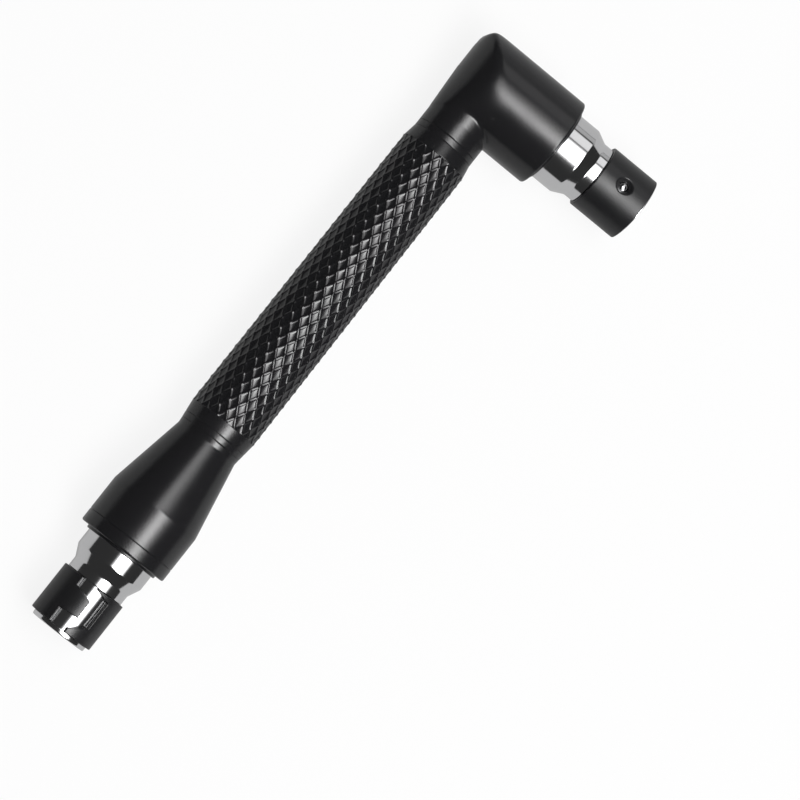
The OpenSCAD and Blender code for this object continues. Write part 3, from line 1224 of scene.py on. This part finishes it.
    def bend_to_bar(
        self,
        nodes: Nodes,
        given: bpy.types.bpy_prop_collection,
        laid: bpy.types.NodeSocket,
        row_step: bpy.types.NodeSocket,
    ) -> bpy.types.NodeSocket:
        """Trims the flat knurl at the bar's two ends and bends it round the tapered bar.

        Args:
            nodes: The tree that gets the nodes.
            given: The tree's inputs.
            laid: The knurl, laid flat.
            row_step: Length of the bar from one row to the next.

        Returns:
            The knurl round the bar.
        """
        spot = nodes.add("ShaderNodeSeparateXYZ", nodes.add("GeometryNodeInputPosition").outputs[0])
        along, angle, height = spot.outputs
        hair = nodes.math("MULTIPLY", row_step, self.trim_slack)
        before = nodes.math("LESS_THAN", along, nodes.math("MULTIPLY", hair, -1.0))
        after = nodes.math("GREATER_THAN", along, nodes.math("ADD", given["Length"], hair))
        outside = nodes.math("MAXIMUM", before, after)
        trimmed = nodes.add("GeometryNodeDeleteGeometry", laid, outside, domain="FACE")
        x = nodes.math("MINIMUM", nodes.math("MAXIMUM", along, 0.0), given["Length"])
        share = nodes.math("DIVIDE", x, given["Length"])
        growth = nodes.math("SUBTRACT", given["Tail Radius"], given["Head Radius"])
        top = nodes.math("MULTIPLY_ADD", growth, share, given["Head Radius"])
        foot = nodes.math("SUBTRACT", top, given["Rib Height"])
        radius = nodes.math("ADD", foot, height)
        turned = nodes.math("ADD", angle, given["Turn"])
        bent = nodes.add(
            "ShaderNodeCombineXYZ", x,
            nodes.math("MULTIPLY", radius, nodes.math("COSINE", turned)),
            nodes.math("MULTIPLY", radius, nodes.math("SINE", turned)),
        )
        return nodes.add(
            "GeometryNodeSetPosition", trimmed.outputs[0], None, bent.outputs[0]
        ).outputs[0]

    def tree(self) -> bpy.types.NodeTree:
        """Builds the geometry nodes that lay the knurl.

        Returns:
            The tree, whose inputs are the knurl's sizes in metres, its counts and its finish.
        """
        nodes = Nodes(bpy.data.node_groups.new("diamond_knurl", "GeometryNodeTree"))
        nodes.ask("Geometry", "NodeSocketGeometry")
        for name in ("Length", "Head Radius", "Tail Radius", "Rib Height", "Rib Share", "Crown Share",
                     "Node Rise", "Turn"):
            nodes.ask(name, "NodeSocketFloat")
        for name in ("Starts", "Rows"):
            nodes.ask(name, "NodeSocketInt")
        nodes.ask("Finish", "NodeSocketMaterial")
        nodes.ask("Geometry", "NodeSocketGeometry", output=True)
        given = nodes.add("NodeGroupInput").outputs
        row_step = nodes.math("DIVIDE", given["Length"], given["Rows"])
        column_step = nodes.math("DIVIDE", math.pi, given["Starts"])
        diamond = self.diamond(nodes, given, row_step, column_step)
        laid = self.lay_cells(nodes, given, diamond, row_step, column_step)
        sewn = nodes.add("GeometryNodeMergeByDistance", self.bend_to_bar(nodes, given, laid, row_step))
        nodes.put(sewn.inputs["Distance"], self.weld * MM)
        whole = nodes.add("GeometryNodeRealizeInstances", sewn.outputs[0])
        painted = nodes.add("GeometryNodeSetMaterial", whole.outputs[0], None, given["Finish"])
        nodes.put(nodes.add("NodeGroupOutput").inputs[0], painted.outputs[0])
        return nodes.tree

    def close_ends(self, mesh: bpy.types.Mesh, length: float) -> None:
        """Closes the skin with two end faces and the bore between them.

        Args:
            mesh: The knurled skin, from x = 0 to its length, in metres.
            length: The bar's length in metres.
        """
        work = bmesh.new()
        work.from_mesh(mesh)
        rims = [e for e in work.edges if e.is_boundary]
        inner: list[bmesh.types.BMEdge] = []
        for at_tail in (False, True):
            rim = [e for e in rims if (e.verts[0].co.x > length / 2) == at_tail]
            made = bmesh.ops.extrude_edge_only(work, edges=rim)["geom"]
            for vertex in (g for g in made if isinstance(g, bmesh.types.BMVert)):
                away = math.hypot(vertex.co.y, vertex.co.z)
                vertex.co.x = length if at_tail else 0
                vertex.co.y *= self.bore_r * MM / away
                vertex.co.z *= self.bore_r * MM / away
            inner.extend(g for g in made if isinstance(g, bmesh.types.BMEdge) and g.is_boundary)
        bmesh.ops.bridge_loops(work, edges=inner)
        bmesh.ops.recalc_face_normals(work, faces=work.faces)
        work.to_mesh(mesh)
        work.free()

    def build(self, axes: Axes, finishes: Finishes) -> None:
        """Builds and dresses the grip.

        Args:
            axes: The driver's axes.
            finishes: The materials by slot.
        """
        low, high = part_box("grip")
        piece = bpy.data.objects.new("knurled_grip", bpy.data.meshes.new("knurled_grip"))
        bpy.context.scene.collection.objects.link(piece)
        modifier = piece.modifiers.new("knurl", "NODES")
        modifier.node_group = self.tree()
        values = {
            "Length": high.x - low.x, "Head Radius": self.head_r * MM, "Tail Radius": self.tail_r * MM,
            "Rib Height": self.rib_h * MM, "Rib Share": self.rib_share,
            "Crown Share": self.crown_share, "Node Rise": self.node_share,
            "Turn": math.radians(self.turn_deg),
            "Starts": self.starts, "Rows": self.rows, "Finish": finishes[Slot.GRIP],
        }
        for item in modifier.node_group.interface.items_tree:
            if item.item_type == "SOCKET" and item.in_out == "INPUT" and item.name in values:
                modifier[item.identifier] = values[item.name]
        plain_copy(piece)
        self.close_ends(piece.data, high.x - low.x)
        start = Vector((low.x, axes.tail_tip.y * MM, axes.tail_tip.z * MM))
        piece.data.transform(Matrix.Translation(start))
        piece.data.shade_smooth()
        piece.data.set_sharp_from_angle(angle=math.radians(self.sharp_deg))
        dress(piece, Slot.GRIP, finishes, "grip")


@dataclass
class Socket:
    """One hexagon socket and its spring band, drawn from the tip with the ball on +X.

    Places are measured back from the tip of the CAD socket, and shares of the seam's width run
    from -1 to 1.

    Attributes:
        tip_in: How far the tip lies behind that of the CAD socket.
        length: Where the socket ends.
        thick_r: Radius of the shank inside the body.
        neck_r: Radius of the neck behind the groove.
        neck_l: Length of the neck.
        cone_l: Length of the cone from the neck to the shank.
        lip_r: Radius of the lip in front of the band.
        lip_l: Where the lip ends.
        groove_r: Radius of the groove that holds the band.
        groove_end: Where the groove ends.
        edge: Rounding of the lip, half that of the shank's end.
        groove_rounding: Rounding of the groove's edges.
        shoulder_rounding: Rounding of the shoulder behind the groove.
        cone_rounding: Rounding at both ends of the cone.
        hex_r: Half the hexagon's width across its flats.
        hex_l: Where the hexagon ends.
        lead_r: Radius of the lead-in's rim.
        lead_l: Depth of the lead-in on a flat.
        drill_l: Depth of the drill's point behind the hexagon.
        hole_r: Radius of the ball's hole.
        throat_r: Radius of the hole's narrow inner end.
        throat_out: Distance from the axis at which the hole has its full width.
        throat_l: Length over which it widens.
        hole_segments: Number of segments round the hole.
        ball_in: Where the ball's middle lies.
        band_l: Length of the band.
        band_in_r: Inner radius of the band.
        band_t: Thickness of the band's wall.
        band_gap: Gap between the lip and the band.
        band_shift: How far the band's axis lies off the socket's, towards the ball.
        band_soft: Rounding of the band's edges.
        window_r: Radius of the ball's window.
        sink_out: Distance from the axis at which the window begins to widen.
        least_r: Least distance from the axis by which the seam is unrolled.
        seam_half_deg: Half the angle that the seam's outline spans round the band.
        seam_shift: How far the seam lies off its side of the band, as a share of its width.
        seam_over: How far the seam's cut runs past the band's two rims.
        tongue_at: Where the tongue's tip lies, as a share of the seam's width.
        arm_at: Where the arms beside the notch end.
        tongue_root_shares: Where the tongue's root begins and ends, as shares of the band's length.
        tongue_tip_shares: Where its tip begins and ends.
        notch_mouth_shares: Where the notch's mouth begins and ends.
        notch_floor_shares: Where its floor begins and ends.
        band_cell: Side of the band's mesh cells.
    """

    tip_in: float = 0.0
    length: float = 27.0
    thick_r: float = 6.6
    neck_r: float = 5.525
    neck_l: float = 1.8
    cone_l: float = 2.2
    lip_r: float = 5.325
    lip_l: float = 0.8
    groove_r: float = 5.0
    groove_end: float = 10.03
    edge: float = 0.25
    groove_rounding: float = 0.05
    shoulder_rounding: float = 0.1
    cone_rounding: float = 0.7
    hex_r: float = 3.2
    hex_l: float = 12.0
    lead_r: float = 3.9
    lead_l: float = 0.7
    drill_l: float = 1.6
    hole_r: float = 1.25
    throat_r: float = 1.0
    throat_out: float = 3.866
    throat_l: float = 0.6
    hole_segments: int = 48
    ball_in: float = 5.4
    band_l: float = 9.15
    band_in_r: float = 5.15
    band_t: float = 0.95
    band_gap: float = 0.04
    band_shift: float = 0.13
    band_soft: float = 0.18
    window_r: float = 0.9
    sink_out: float = 5.5
    least_r: float = 1.0
    seam_half_deg: float = 30.0
    seam_shift: float = 0.18
    seam_over: float = 1.0
    tongue_at: float = -0.11
    arm_at: float = 0.03
    tongue_root_shares: tuple[float, float] = (0.19, 0.69)
    tongue_tip_shares: tuple[float, float] = (0.28, 0.66)
    notch_mouth_shares: tuple[float, float] = (0.03, 0.9)
    notch_floor_shares: tuple[float, float] = (0.12, 0.7)
    band_cell: float = 0.1

    def shell(self) -> Turned:
        """Gives the socket's outside, from its lead-in back to the middle of its end.

        Returns:
            The turned shape, whose outline begins at the lead-in's rim.
        """
        neck_end = -self.groove_end - self.neck_l
        thick = neck_end - self.cone_l
        groove = self.groove_rounding
        return Turned((
            Corner(-self.tip_in, self.lead_r), Corner(-self.tip_in, self.lip_r, self.edge),
            Corner(-self.lip_l, self.lip_r, groove), Corner(-self.lip_l, self.groove_r, groove),
            Corner(-self.groove_end, self.groove_r, groove),
            Corner(-self.groove_end, self.neck_r, self.shoulder_rounding),
            Corner(neck_end, self.neck_r, self.cone_rounding),
            Corner(thick, self.thick_r, self.cone_rounding),
            Corner(-self.length, self.thick_r, 2 * self.edge), Corner(-self.length, 0),
        ))

    def hexagon(self, segments: int) -> list[tuple[np.ndarray, np.ndarray]]:
        """Gives the rings of the hexagon, from the drill's point out to the lead-in.

        Args:
            segments: Number of places round the axis.

        Returns:
            Each ring's heights and radii.
        """
        angles = np.arange(segments) * TURN / segments
        wedge = TURN / 6
        off_flat = np.mod(angles, wedge) - wedge / 2
        radii = self.hex_r / np.cos(off_flat)
        flat = np.ones(segments)
        lead = -self.tip_in - (self.lead_r - radii) * self.lead_l / (self.lead_r - self.hex_r)
        return [
            (-(self.hex_l + self.drill_l) * flat, 0 * flat),
            (-self.hex_l * flat, self.hex_r * flat),
            (-self.hex_l * flat, radii),
            (lead, radii),
        ]

    def build_socket(self, name: str, place: Matrix) -> bpy.types.Object:
        """Builds the chromed socket with its ball's hole.

        Args:
            name: Name of the piece.
            place: Matrix of the socket's frame.

        Returns:
            The piece.
        """
        shell = self.shell()
        points, faces = skin([*self.hexagon(shell.segments), *shell.rings()], closed=False)
        piece = make_piece(name, points, faces, place)
        hole = Turned((
            Corner(0, 0), Corner(0, self.throat_r),
            Corner(self.throat_out - self.throat_l, self.throat_r),
            Corner(self.throat_out, self.hole_r), Corner(self.thick_r, self.hole_r),
            Corner(self.thick_r, 0),
        ), segments=self.hole_segments)
        aim = standing(Vector((0, 0, -self.ball_in)), Vector((1, 0, 0)), Vector((0, 1, 0)))
        cutter = make_piece(name + "_hole", *hole.mesh(), place @ aim)
        cut = piece.modifiers.new("ball_hole", "BOOLEAN")
        cut.object = cutter
        cut.solver = "EXACT"
        plain_copy(piece)
        bpy.data.objects.remove(cutter)
        piece.data.set_sharp_from_angle(angle=math.radians(SHARP_DEG))
        return piece

    def seam(self) -> np.ndarray:
        """Draws the opening in the band, with the tongue on one side and the notch on the other.

        Returns:
            The outline's corners, across the seam and along the socket.
        """
        half = (self.band_in_r + self.band_t) * math.sin(math.radians(self.seam_half_deg))
        start = -self.lip_l - self.band_gap - self.band_l
        root, tip = self.tongue_root_shares, self.tongue_tip_shares
        mouth, floor = self.notch_mouth_shares, self.notch_floor_shares
        tongue, arm, over = self.tongue_at, self.arm_at, self.seam_over

        def at(across: float, share: float, beyond: float = 0) -> tuple[float, float]:
            """Gives one corner from its shares of the seam's width and of the band's length."""
            return ((across + self.seam_shift) * half, start + share * self.band_l + beyond)

        return np.array([
            at(1, 0, -over), at(1, root[0]), at(tongue, tip[0]),
            at(tongue, tip[1]), at(1, root[1]), at(1, 1, over),
            at(arm, 1, over), at(arm, mouth[1]), at(-1, floor[1]),
            at(-1, floor[0]), at(arm, mouth[0]), at(arm, 0, -over),
        ])

    def band_distance(self, points: np.ndarray) -> np.ndarray:
        """Gives the field of the spring band.

        Args:
            points: The places, one a row.

        Returns:
            The signed distance of each place, negative inside.
        """
        x, y, z = points.T
        out_r = self.band_in_r + self.band_t
        from_axis = np.hypot(x - self.band_shift, y)
        middle_r = self.band_in_r + self.band_t / 2
        middle_z = -self.lip_l - self.band_gap - self.band_l / 2
        wall = np.abs(from_axis - middle_r) - self.band_t / 2
        whole = soft_max(wall, np.abs(z - middle_z) - self.band_l / 2, self.band_soft)
        unrolled = y * out_r / np.maximum(from_axis, self.least_r)
        opening = np.maximum(outline_distance(-unrolled, z, self.seam()), x)
        whole = soft_max(whole, -opening, self.band_soft)
        sink = self.window_r + np.maximum(x - self.sink_out, 0)
        window = np.maximum(np.hypot(y, z + self.ball_in) - sink, -x)
        return soft_max(whole, -window, self.band_soft)

    def build_band(self, name: str, place: Matrix) -> bpy.types.Object:
        """Builds the spring band.

        Args:
            name: Name of the piece.
            place: Matrix of the socket's frame.

        Returns:
            The piece.
        """
        edge = 2 * self.band_cell
        reach = self.band_in_r + self.band_t + self.band_shift + edge
        low = (-reach, -reach, -self.lip_l - self.band_gap - self.band_l - edge)
        high = (reach, reach, -self.lip_l - self.band_gap + edge)
        points, quads, normals = FieldMesher(self.band_distance, low, high, self.band_cell).mesh()
        return make_piece(name, points, quads, place, normals=normals)

    def build(self, end: str, place: Matrix, ball_way: Vector, finishes: Finishes) -> None:
        """Builds and dresses one end's socket and band, and dresses its ball.

        Args:
            end: "head" or "tail".
            place: Matrix of the socket's frame.
            ball_way: Direction in which the ball moves out; not used.
            finishes: The materials by slot.
        """
        socket = self.build_socket(f"chrome_socket_{end}", place)
        dress(socket, Slot.CHROME, finishes, f"{end}_socket")
        band = self.build_band(f"spring_band_{end}", place)
        band.data.materials.append(finishes[Slot.SPRING])
        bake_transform(band)
        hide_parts(f"{end}_band")
        LOG.info("%s: %d faces, for %s_band", band.name, len(band.data.polygons), end)
        paint_node(f"{end}_ball", finishes[Slot.BALL])


# Floor, lamps and camera


@dataclass(frozen=True)
class Softbox:
    """A soft rectangular lamp that is brightest at one spot and fades towards its rim.

    Attributes:
        name: Name of the lamp.
        place: Where it hangs, in metres.
        aim: The point that it faces.
        size: Its width and height in metres.
        roll_deg: How far it is turned about its own middle.
        plain: How bright the cloth is away from the spot, where 1 is white.
        spot: How much brighter the middle of the spot is.
        spot_at: Place of the spot, from -1 to 1 across and up the cloth.
        spot_spread: Width and height of the spot as shares of half the cloth's.
        fade: Share of half the cloth over which it fades at each side, in the order left, right,
            bottom, top.
    """

    name: str
    place: tuple[float, float, float]
    aim: tuple[float, float, float]
    size: tuple[float, float]
    plain: float
    roll_deg: float = 0.0
    spot: float = 0.0
    spot_at: tuple[float, float] = (0.0, 0.0)
    spot_spread: tuple[float, float] = (1.0, 1.0)
    fade: tuple[float, float, float, float] = (0.2, 0.2, 0.2, 0.2)

    def build(self) -> None:
        """Builds the lamp."""
        light = bpy.data.lights.new(self.name, "AREA")
        light.shape = "RECTANGLE"
        light.size, light.size_y = self.size
        light.energy = self.size[0] * self.size[1] * math.pi
        turn = (Vector(self.aim) - Vector(self.place)).to_track_quat("-Z", "Y")
        turn = turn @ Quaternion((0, 0, 1), math.radians(self.roll_deg))
        lamp = bpy.data.objects.new(self.name, light)
        lamp.location = self.place
        lamp.rotation_euler = turn.to_euler()
        bpy.context.scene.collection.objects.link(lamp)
        light.use_nodes = True
        nodes = Nodes(light.node_tree)
        here = nodes.add("ShaderNodeNewGeometry").outputs["Position"]
        away = nodes.add("ShaderNodeVectorMath", here, self.place, operation="SUBTRACT").outputs[0]
        brightness: object = 1.0
        apart: object = 0.0
        for side in (0, 1):
            way = turn @ Vector((1 - side, side, 0)) * 2 / self.size[side]
            dot = nodes.add("ShaderNodeVectorMath", away, way, operation="DOT_PRODUCT")
            across = dot.outputs["Value"]
            low = nodes.smooth(across, -1.0, self.fade[2 * side] - 1)
            high = nodes.smooth(nodes.math("MULTIPLY", across, -1.0), -1.0, self.fade[2 * side + 1] - 1)
            brightness = nodes.math("MULTIPLY", brightness, nodes.math("MULTIPLY", low, high))
            off = nodes.math("DIVIDE", nodes.math("SUBTRACT", across, self.spot_at[side]),
                             self.spot_spread[side])
            apart = nodes.math("ADD", apart, nodes.math("MULTIPLY", off, off))
        glow = nodes.math("EXPONENT", nodes.math("MULTIPLY", apart, -1.0))
        level = nodes.math("MULTIPLY_ADD", glow, self.spot, self.plain)
        nodes.put(light.node_tree.nodes["Emission"].inputs["Strength"],
                  nodes.math("MULTIPLY", brightness, level))


SOFTBOXES = (
    Softbox("main_softbox", (-0.03, 0.36, 1.0), (-0.03, 0.36, 0), (0.9, 1.4), plain=1.3, roll_deg=-51.5,
            spot=15.0, spot_at=(0.24, 0.3), spot_spread=(0.42, 0.81), fade=(0.45, 0.6, 0.2, 0.4)),
    Softbox("side_card", (-0.754, 0.12, 0.54), (-0.055, 0.0, 0), (0.4, 0.5), plain=0.85),
    Softbox("low_card", (-0.95, 0.05, 0.15), (-0.055, 0.0, 0.01), (1.2, 0.28), plain=0.4),
)


@dataclass(frozen=True)
class Studio:
    """The pale floor, the soft lamps and the world round the driver.

    Attributes:
        floor_side: Side of the square floor in metres.
        floor_colour: How light the floor is to the lamps.
        seen_white: How much of the floor that the camera sees is plain white.
        mirrored_share: How much of a mirrored floor is one plain grey.
        mirrored_grey: How light that grey is.
        room: How bright the room round the floor is.
    """

    floor_side: float = 6.0
    floor_colour: float = 0.8
    seen_white: float = 0.88
    mirrored_share: float = 0.8
    mirrored_grey: float = 0.42
    room: float = 0.03

    def white_where_seen(
        self, nodes: Nodes, shader: bpy.types.NodeSocket
    ) -> bpy.types.NodeSocket:
        """Mixes plain white over a shader for camera rays, and plain grey for mirrored ones.

        Args:
            nodes: The floor's tree.
            shader: What other rays meet.

        Returns:
            The mixed shader.
        """
        path = nodes.add("ShaderNodeLightPath")
        seen = nodes.math("MULTIPLY", path.outputs["Is Camera Ray"], self.seen_white)
        mirrored = nodes.math("MULTIPLY", path.outputs["Is Glossy Ray"], self.mirrored_share)
        share = nodes.math("MAXIMUM", seen, mirrored)
        dimmer = nodes.math("MULTIPLY", path.outputs["Is Glossy Ray"], 1 - self.mirrored_grey)
        white = nodes.add("ShaderNodeEmission", nodes.math("SUBTRACT", 1.0, dimmer), 1.0)
        return nodes.add("ShaderNodeMixShader", share, shader, white.outputs[0]).outputs[0]

    def build_floor(self) -> None:
        """Builds the floor that the driver lies on."""
        half = self.floor_side / 2
        mesh = bpy.data.meshes.new("pale_floor")
        mesh.from_pydata([(-half, -half, 0), (half, -half, 0), (half, half, 0), (-half, half, 0)], [],
                         [(0, 1, 2, 3)])
        floor = bpy.data.objects.new("pale_floor", mesh)
        bpy.context.scene.collection.objects.link(floor)
        material = bpy.data.materials.new("pale_floor")
        material.use_nodes = True
        nodes = Nodes(material.node_tree)
        nodes.tree.nodes.clear()
        plain = nodes.add("ShaderNodeBsdfDiffuse", (self.floor_colour,) * 3 + (1,))
        mixed = self.white_where_seen(nodes, plain.outputs[0])
        nodes.put(nodes.add("ShaderNodeOutputMaterial").inputs[0], mixed)
        mesh.materials.append(material)

    def build_world(self) -> None:
        """Builds a dim room whose far walls the camera sees as white."""
        world = bpy.data.worlds.new("pale_room")
        bpy.context.scene.world = world
        world.use_nodes = True
        nodes = Nodes(world.node_tree)
        nodes.tree.nodes.clear()
        path = nodes.add("ShaderNodeLightPath")
        dim = nodes.add("ShaderNodeBackground", (1, 1, 1, 1), self.room)
        white = nodes.add("ShaderNodeBackground", (1, 1, 1, 1), 1.0)
        mixed = nodes.add("ShaderNodeMixShader", path.outputs["Is Camera Ray"], dim.outputs[0],
                          white.outputs[0])
        nodes.put(nodes.add("ShaderNodeOutputWorld").inputs[0], mixed.outputs[0])

    def build(self) -> None:
        """Builds the floor, the world and the lamps."""
        self.build_floor()
        self.build_world()
        for softbox in SOFTBOXES:
            softbox.build()
        bpy.context.scene.view_settings.view_transform = "Standard"
        LOG.info("studio: floor, world and %d lamps", len(SOFTBOXES))


@dataclass(frozen=True)
class Camera:
    """The camera, placed as it stood over the driver in the photograph.

    Attributes:
        eye: Where it stands, from the crossing of the two axes, in millimetres.
        aim: The point in the driver's middle plane that it looks at, from the same place.
        up: The direction in that plane that points up in the picture.
        focal: Focal length in pixels of the photograph.
        frame_px: Width of the photograph in pixels.
        sensor: Width of the sensor in millimetres.
        near: Nearest distance that it sees, in metres.
        far: Farthest distance that it sees, in metres.
    """

    eye: tuple[float, float, float] = (102.33, -66.76, 592.83)
    aim: tuple[float, float, float] = (50.86, 21.39, 0.0)
    up: tuple[float, float, float] = (-0.7834, -0.6211, -0.0243)
    focal: float = 3532.1
    frame_px: float = 800.0
    sensor: float = 36.0
    near: float = 0.05
    far: float = 20.0

    def build(self, axes: Axes) -> None:
        """Builds the camera and makes it the scene's own.

        Args:
            axes: The driver's axes.
        """
        data = bpy.data.cameras.new("photo_camera")
        data.sensor_width = self.sensor
        data.lens = self.focal / self.frame_px * self.sensor
        data.clip_start, data.clip_end = self.near, self.far
        eye = (axes.crossing + Vector(self.eye)) * MM
        back = (Vector(self.eye) - Vector(self.aim)).normalized()
        right = Vector(self.up).cross(back).normalized()
        turned = Matrix((right, back.cross(right), back)).transposed().to_4x4()
        camera = bpy.data.objects.new("photo_camera", data)
        camera.matrix_world = Matrix.Translation(eye) @ turned
        bpy.context.scene.collection.objects.link(camera)
        bpy.context.scene.camera = camera
        LOG.info("camera: lens %.1f mm", data.lens)


@dataclass
class OffsetDriver:
    """The whole driver, sub-assembly by sub-assembly.

    Attributes:
        axes: Where its axes lie.
        finishes: Its materials by slot.
        head: The cast head.
        handle: The collars, the rings and the tail cone.
        grip: The knurled bar.
        head_socket: The head's socket, whose lip hardly stands out of its band.
        tail_socket: The tail's socket.
    """

    axes: Axes
    finishes: Finishes
    head: Head = field(default_factory=Head)
    handle: Handle = field(default_factory=Handle)
    grip: Grip = field(default_factory=Grip)
    head_socket: Socket = field(default_factory=lambda: Socket(tip_in=0.4, lip_l=0.62, band_l=9.33))
    tail_socket: Socket = field(default_factory=Socket)

    def build(self) -> None:
        """Builds every piece of the driver."""
        self.head.build(self.axes, self.finishes)
        self.handle.build(self.axes, self.finishes)
        self.grip.build(self.axes, self.finishes)
        self.head_socket.build("head", self.axes.at_head_tip(), self.axes.head_ball, self.finishes)
        self.tail_socket.build("tail", self.axes.at_tail_tip(), self.axes.tail_ball, self.finishes)
        paint_node("core_rod", self.finishes[Slot.ROD])


def main() -> None:
    """Builds the driver, its studio and its camera."""
    logging.basicConfig(level=logging.INFO, format="%(name)s: %(message)s")
    axes = Axes.from_frame()
    Camera().build(axes)
    Studio().build()
    OffsetDriver(axes, build_finishes()).build()


if __name__ == "__main__":
    main()
